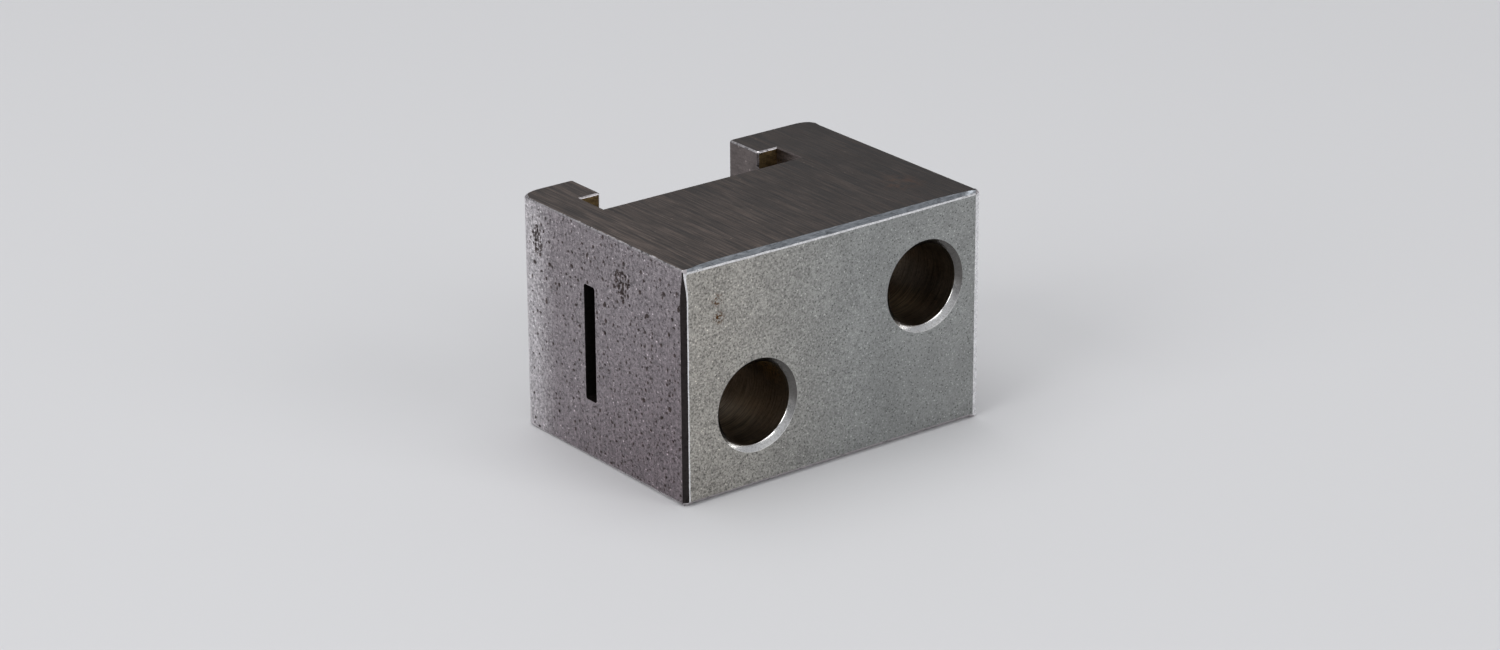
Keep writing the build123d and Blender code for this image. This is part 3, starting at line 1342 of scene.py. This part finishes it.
@dataclass(frozen=True)
class SparkEroded(Steel):
    """An even, matt grain of tiny craters, calmer towards the right, with a few dark specks."""

    rust: tuple[Point, ...] = ()
    warm: Colour = (0.37, 0.355, 0.325)

    def material(self) -> bpy.types.Material:
        """Builds the material."""
        sheet = NodeSheet(self.name)
        grain = sheet.noise(5.0, 3.0, 0.6)
        fine = sheet.noise(11.0, 2.0, 0.6)
        contrast = sheet.ramp(sheet.axis("X"), -18.0, 13.0, 2.8, 1.2)
        swing = sheet.math("MULTIPLY", sheet.math("SUBTRACT", grain, 0.5), contrast)
        cloud = sheet.ramp(sheet.noise(0.22, 2.0, 0.5), 0.3, 0.7, 0.93, 1.06)
        dark = sheet.ramp(sheet.cells(2.7), 0.14, 0.3, 0.5, 1.0)
        bright_at = sheet.stretched((1, 1, 1), (7, 3, 5))
        bright = sheet.ramp(sheet.cells(2.4, bright_at), 0.1, 0.24, 1.6, 1.0)
        # painted light: the front is painted brighter towards the top, as if lit from above
        painted_light_by_height = sheet.ramp(sheet.axis("Z"), 2.0, 24.0, 1.02, 1.12, smooth=False)
        gain = sheet.product(
            sheet.math("ADD", swing, 1.0), sheet.ramp(fine, 0.3, 0.7, 0.82, 1.18),
            cloud, dark, bright, painted_light_by_height,
        )
        warm = sheet.ramp(sheet.axis("X"), -18.0, 6.0, 1.0, 0.0)
        colour = sheet.scaled(sheet.mix(warm, self.colour, self.warm), gain)
        broken = sheet.ramp(sheet.noise(3.5, 2.0, 0.6), 0.42, 0.58)
        for middle in self.rust:
            share = sheet.product(sheet.spot(middle, 0.3, 0.6), broken)
            colour = sheet.mix(share, colour, (0.11, 0.055, 0.022))
        normal = sheet.bump(sheet.math("ADD", grain, sheet.math("MULTIPLY", fine, 0.4)), 0.06, 0.6)
        roughness = sheet.around(grain, self.roughness, 0.08, 0.1)
        return sheet.finish(colour, roughness, 1.0, normal)


@dataclass(frozen=True)
class PittedEnd(Steel):
    """The left end: pinkish, eaten by pits, darker at the foot, and paler beside the back edge, where a
    highlight is painted.
    """

    face: float = -18.7
    flat_to: float = 12.35
    # colour of the painted highlight beside the back edge
    pale: Colour = (0.66, 0.63, 0.65)
    dark: Colour = (0.2, 0.16, 0.175)

    def material(self) -> bpy.types.Material:
        """Builds the material."""
        sheet = NodeSheet(self.name)
        x, y, z = (sheet.axis(name) for name in "XYZ")
        grain = sheet.noise(3.4, 4.0, 0.65)
        fine = sheet.noise(10.0, 2.0, 0.6)
        # painted highlight: paler towards the back edge and round the back corner, where the rounding
        # catches the light
        painted_highlight = sheet.ramp(sheet.math("ADD", y, sheet.math("MULTIPLY", grain, 3.0)), 9.0, 14.4)
        colour = sheet.mix(painted_highlight, self.colour, self.pale)
        foot = sheet.math("SUBTRACT", sheet.math("MULTIPLY", grain, 5.0), sheet.math(
            "ADD", sheet.math("MULTIPLY", y, 0.32), sheet.math("MULTIPLY", z, 0.4)))
        colour = sheet.mix(sheet.ramp(foot, -4.5, 5.5, 0.0, 0.62), colour, self.dark)
        level = sheet.noise(1.0, 3.0, 0.6, sheet.stretched((1, 0.35, 8.0)))
        upright = sheet.noise(1.0, 3.0, 0.6, sheet.stretched((1, 7.0, 0.4)))
        at_head = sheet.product(sheet.math("SUBTRACT", level, 0.5), sheet.ramp(z, 20.0, 24.5))
        at_foot = sheet.product(sheet.math("SUBTRACT", upright, 0.5), sheet.ramp(z, 11.0, 2.0))
        streaks = sheet.math("ADD", sheet.math("ADD", at_head, at_foot), 1.0)
        small = sheet.ramp(sheet.cells(2.0), 0.1, 0.26, 0.5, 1.0)
        # painted highlights: scattered spots painted up to 2.3 times brighter, as glints on the pits
        bright_at = sheet.stretched((1, 1, 1), (4, 9, 2))
        bright = sheet.ramp(sheet.cells(1.4, bright_at), 0.08, 0.17, 2.3, 1.0)
        gain = sheet.product(
            sheet.ramp(grain, 0.3, 0.7, 0.6, 1.4), sheet.ramp(fine, 0.3, 0.7, 0.8, 1.2),
            streaks, small, bright,
        )
        colour = sheet.scaled(colour, gain)
        depth = sheet.math("SUBTRACT", x, self.face)
        flat = sheet.ramp(y, self.flat_to - 0.15, self.flat_to, 1.0, 0.0)
        sunk = sheet.product(sheet.ramp(depth, 0.012, 0.07, 0.0, 0.85), flat)
        colour = sheet.mix(sunk, colour, (0.05, 0.035, 0.03))
        normal = sheet.bump(sheet.math("ADD", grain, sheet.math("MULTIPLY", small, 1.6)), 0.18, 1.0)
        roughness = sheet.around(grain, self.roughness, 0.08, 0.1)
        return sheet.finish(colour, roughness, 1.0, normal)


@dataclass(frozen=True)
class Ground(Steel):
    """Ground steel: fine lines along Y, with faint blotches and a few short bright scratches."""

    lines: Scale = (4.2, 0.11, 1.0)
    stain: Point | None = None
    # paints shade that darkens the face towards the right
    painted_shade_to_right: bool = False
    swing: float = 0.5

    def material(self) -> bpy.types.Material:
        """Builds the material."""
        sheet = NodeSheet(self.name)
        broad = sheet.noise(1.0, 4.0, 0.65, sheet.stretched(self.lines))
        hair = sheet.noise(2.6, 2.0, 0.6, sheet.stretched(self.lines, (3, 1, 2)))
        cloud = sheet.ramp(sheet.noise(0.3, 3.0, 0.6), 0.3, 0.7, 0.86, 1.12)
        speck = sheet.ramp(sheet.cells(0.7), 0.03, 0.09, 2.3, 1.0)
        scratch_at = sheet.stretched((2.4, 0.5, 1.0), (9, 4, 0))
        scratch = sheet.ramp(sheet.cells(0.8, scratch_at), 0.02, 0.06, 2.6, 1.0)
        gain = sheet.product(
            sheet.ramp(broad, 0.36, 0.64, 1.0 - self.swing, 1.0 + self.swing),
            sheet.ramp(hair, 0.36, 0.64, 1.0 - 0.5 * self.swing, 1.0 + 0.5 * self.swing),
            cloud, speck, scratch, sheet.ramp(sheet.noise(5.0, 3.0, 0.6), 0.3, 0.7, 0.9, 1.1),
        )
        # painted shade: the face is painted darker towards the right
        if self.painted_shade_to_right:
            gain = sheet.product(gain, sheet.ramp(sheet.axis("X"), -18.0, 18.0, 1.3, 0.6, smooth=False))
        colour = sheet.scaled(self.colour, gain)
        if self.stain is not None:
            edge = sheet.ramp(sheet.noise(0.9, 3.0, 0.6), 0.35, 0.6, 0.0, 0.75)
            share = sheet.product(sheet.spot(self.stain, 0.8, 2.4), edge)
            colour = sheet.mix(share, colour, (0.13, 0.07, 0.045))
        normal = sheet.bump(sheet.math("ADD", broad, hair), 0.02, 0.6)
        roughness = sheet.around(broad, self.roughness, 0.07, 0.07)
        return sheet.finish(colour, roughness, 1.0, normal)


@dataclass(frozen=True)
class Edge(Steel):
    """A narrow worked edge: one colour with streaks, and dark nicks along it; where that colour is
    pale, it is a painted highlight.

    dark is the share that a nick darkens the colour by, and nicks how close together they are.
    """

    dark: float = 0.4
    nicks: float = 1.6
    lines: Scale = (1.0, 1.0, 1.0)
    relief: float = 0.012

    def material(self) -> bpy.types.Material:
        """Builds the material."""
        sheet = NodeSheet(self.name)
        streak = sheet.noise(3.0, 3.0, 0.6, sheet.stretched(self.lines))
        nick = sheet.ramp(sheet.noise(self.nicks, 3.0, 0.65), 0.34, 0.46, 1.0 - self.dark, 1.0)
        gain = sheet.product(sheet.ramp(streak, 0.3, 0.7, 0.82, 1.16), nick)
        normal = sheet.bump(streak, self.relief, 0.5)
        roughness = sheet.around(streak, self.roughness, 0.07, 0.07)
        return sheet.finish(sheet.scaled(self.colour, gain), roughness, 1.0, normal)


@dataclass(frozen=True)
class TurnedChamfer(Steel):
    """The cone at a bore's mouth: a painted highlight below the bore's axis, painted shade above it."""

    # points below the bores' axes round which the highlight is painted, and the colour of the painted
    # shade elsewhere
    below: tuple[Point, ...] = ()
    painted_shade_colour: Colour = (0.13, 0.125, 0.12)

    def material(self) -> bpy.types.Material:
        """Builds the material."""
        sheet = NodeSheet(self.name)
        streak = sheet.noise(4.0, 3.0, 0.6)
        # painted highlight round the points below each axis; the rest of the cone keeps the painted
        # shade
        share = sheet.spot(self.below[0], 3.0, 3.4)
        for middle in self.below[1:]:
            share = sheet.math("MAXIMUM", share, sheet.spot(middle, 3.0, 3.4))
        colour = sheet.mix(share, self.painted_shade_colour, self.colour)
        colour = sheet.scaled(colour, sheet.ramp(streak, 0.3, 0.7, 0.86, 1.12))
        normal = sheet.bump(streak, 0.012, 0.4)
        return sheet.finish(colour, self.roughness, 1.0, normal)


@dataclass(frozen=True)
class Bored(Steel):
    """A bore's wall: dark and brown, with rings left by the tool, a bronze tint in places, and painted
    highlights low in the bore.
    """

    tinted: tuple[Point, ...] = ()
    tint: Colour = (0.62, 0.4, 0.16)
    # spots low in the bores that are painted lighter as highlights
    painted_highlight: tuple[Point, ...] = ()

    def material(self) -> bpy.types.Material:
        """Builds the material."""
        sheet = NodeSheet(self.name)
        rings = sheet.noise(1.0, 3.0, 0.6, sheet.stretched((0.35, 6.0, 0.35)))
        grain = sheet.noise(4.0, 3.0, 0.6)
        gain = sheet.product(
            sheet.ramp(rings, 0.3, 0.7, 0.7, 1.3), sheet.ramp(grain, 0.3, 0.7, 0.82, 1.18)
        )
        colour = sheet.scaled(self.colour, gain)
        # painted highlights: lighter spots low in each bore, where the light catches the wall
        for middle in self.painted_highlight:
            share = sheet.product(sheet.spot(middle, 1.2, 4.0), sheet.ramp(rings, 0.3, 0.7, 0.3, 1.0))
            colour = sheet.mix(share, colour, (0.66, 0.57, 0.44))
        for middle in self.tinted:
            share = sheet.product(sheet.spot(middle, 0.5, 2.6), sheet.ramp(grain, 0.35, 0.6))
            colour = sheet.mix(share, colour, self.tint)
        normal = sheet.bump(sheet.math("ADD", rings, grain), 0.02, 0.5)
        roughness = sheet.around(rings, self.roughness, 0.06, 0.1)
        return sheet.finish(colour, roughness, 1.0, normal)


def finishes(sizes: BlockSizes) -> dict[Finish, Steel]:
    """The look of every finish.

    Args:
        sizes: sizes of the block, for the marks that lie at known places.

    Returns:
        The finish's look, by finish.
    """
    low, high, front = sizes.low_bore, sizes.high_bore, sizes.front
    rust = ((-14.6, front, 21.0), (-14.4, front, 19.1))
    return {
        Finish.SPARK_ERODED: SparkEroded("spark_eroded_front", (0.295, 0.303, 0.296), 0.42, rust),
        Finish.PITTED: PittedEnd(
            "pitted_left_end", (0.325, 0.293, 0.31), 0.36, sizes.left,
            sizes.back - sizes.back_radius),
        # the top's ground steel is painted far darker than the same steel on the sides: a painted dark
        # reflection, with painted shade towards the right
        Finish.GROUND_TOP: Ground(
            "ground_top", (0.1, 0.078, 0.066), 0.36, stain=(13.5, -7.5, sizes.top),
            painted_shade_to_right=True),
        Finish.GROUND_SIDE: Ground(
            "ground_side", (0.34, 0.33, 0.325), 0.4, (0.25, 0.25, 5.0), swing=0.1),
        Finish.FILED: Edge("filed_flat", (0.3, 0.32, 0.345), 0.34, 0.3, 1.2, (0.4, 3.0, 3.0)),
        # painted highlight: the ridges are real facets, and their near-white colour paints the bright
        # line they catch
        Finish.BURNISHED: Edge(
            "burnished_ridge", (0.84, 0.84, 0.85), 0.28, 0.12, 1.1, relief=0.003),
        Finish.DARK_CHAMFER: Edge("dark_chamfer", (0.035, 0.03, 0.03), 0.5, 0.4, 1.4),
        # painted highlight: the edge breaks are real, and their colour, paler than the faces', paints
        # the light they catch
        Finish.BROKEN_EDGE: Edge("broken_edge", (0.6, 0.57, 0.58), 0.34, 0.62, 1.5),
        # the chamfers' near-white colour is a painted highlight below each bore's axis
        Finish.BORE_CHAMFER: TurnedChamfer(
            "turned_bore_chamfer", (0.98, 0.97, 0.95), 0.2,
            tuple((bore.x + 0.6, front, bore.z - bore.mouth) for bore in (low, high))),
        # the lighter spots low in the bore walls are painted highlights
        Finish.BORE_WALL: Bored(
            "bore_wall", (0.24, 0.19, 0.14), 0.34, ((low.x + 3.2, front + 3.2, low.z + 2.6),),
            painted_highlight=((low.x + 0.5, front + 6.0, low.z - 4.3), (high.x, front + 6.0, high.z - 4.3))),
        Finish.SLOT_WALL: Ground(
            "milled_slot_wall", (0.15, 0.128, 0.124), 0.4, (0.8, 0.8, 4.0), swing=0.15),
        Finish.LIP_INNER: Ground(
            "straw_tinted_lip", (0.5, 0.36, 0.17), 0.36, (0.8, 0.8, 4.0), swing=0.15),
        # painted shade: the end slot's walls and bottom are painted almost black for the shade deep in
        # the narrow slot
        Finish.END_SLOT: Edge("end_slot", (0.03, 0.026, 0.024), 0.6, 0.3, 2.0),
    }


# ---- studio -----------------------------------------------------------------------------------


@dataclass(frozen=True)
class Lamp:
    """A square soft lamp, aimed at the block. Its place and size are metres, its power watts."""

    name: str
    place: tuple[float, float, float]
    size: float
    power: float

    def add(self) -> None:
        """Puts the lamp in the scene."""
        data = bpy.data.lights.new(self.name, "AREA")
        data.shape = "SQUARE"
        data.size = self.size
        data.energy = self.power
        lamp = bpy.data.objects.new(self.name, data)
        lamp.location = self.place
        lamp.rotation_mode = "QUATERNION"
        aim = Vector((0, 0, 0.01)) - Vector(self.place)
        lamp.rotation_quaternion = aim.to_track_quat("-Z", "Y")
        bpy.context.scene.collection.objects.link(lamp)


LAMPS = [
    Lamp("overhead", (-0.05, 0.1, 0.9), 0.9, 5.0),
    Lamp("left", (-0.9, -0.1, 0.55), 0.6, 4.0),
    Lamp("front", (0.35, -1.0, 0.6), 0.6, 3.5),
]


@dataclass
class Studio:
    """The pale floor, the soft lights and the camera."""

    azimuth: float = 37.24         # degrees to the left of looking along +Y
    elevation: float = 21.66
    roll: float = -0.36
    distance: float = 418.1
    aim: tuple[float, float, float] = (-0.468, -0.568, 10.76)
    lens: float = 98.33
    sensor: float = 36.0

    def add_camera(self) -> None:
        """The camera: it looks at the aim from its azimuth and elevation, rolled a little."""
        a, e, roll = (math.radians(v) for v in (self.azimuth, self.elevation, self.roll))
        forward = Vector((math.sin(a) * math.cos(e), math.cos(a) * math.cos(e), -math.sin(e)))
        right = forward.cross(Vector((0, 0, 1))).normalized()
        up = right.cross(forward)
        turned = right * math.cos(roll) + up * math.sin(roll)
        upright = up * math.cos(roll) - right * math.sin(roll)
        data = bpy.data.cameras.new("camera")
        data.lens = self.lens
        data.sensor_width = self.sensor
        data.clip_start, data.clip_end = 0.01, 20.0
        camera = bpy.data.objects.new("camera", data)
        place = (Vector(self.aim) - forward * self.distance) * METRES
        turn = Matrix((turned, upright, -forward)).transposed()
        camera.matrix_world = Matrix.Translation(place) @ turn.to_4x4()
        bpy.context.scene.collection.objects.link(camera)
        bpy.context.scene.camera = camera

    def add_floor(self) -> None:
        """A large plain floor at the block's underside."""
        half = 3.0
        mesh = bpy.data.meshes.new("floor")
        corners = [(-half, -half, 0), (half, -half, 0), (half, half, 0), (-half, half, 0)]
        mesh.from_pydata(corners, [], [(0, 1, 2, 3)])
        floor = bpy.data.objects.new("floor", mesh)
        bpy.context.scene.collection.objects.link(floor)
        sheet = NodeSheet("pale_floor")
        mesh.materials.append(sheet.finish((0.62, 0.62, 0.63), 0.6, 0.0))

    def add_lights(self) -> None:
        """Large soft lamps and an even surrounding light."""
        world = bpy.data.worlds.new("studio")
        world.use_nodes = True
        background = world.node_tree.nodes["Background"]
        background.inputs["Color"].default_value = (0.34, 0.345, 0.36, 1)
        background.inputs["Strength"].default_value = 1.0
        bpy.context.scene.world = world
        for lamp in LAMPS:
            lamp.add()

    def build(self) -> None:
        """Sets up the whole studio."""
        self.add_camera()
        self.add_floor()
        self.add_lights()
        bpy.context.scene.view_settings.view_transform = "Standard"


# ---- main -------------------------------------------------------------------------------------


def main() -> None:
    """Builds the block's skin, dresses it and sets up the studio."""
    logging.basicConfig(level=logging.INFO, format="%(name)s: %(message)s")
    sizes = BlockSizes.from_frame()
    block = BlockSkin(sizes).build()
    looks = finishes(sizes)
    for finish in Finish:
        block.data.materials.append(looks[finish].material())
    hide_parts(NODE)
    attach(block, BODY)
    triangles = sum(len(face.vertices) - 2 for face in block.data.polygons)
    log.info("%s: %d faces, %d triangles", block.name, len(block.data.polygons), triangles)
    Studio().build()


if __name__ == "__main__":
    main()
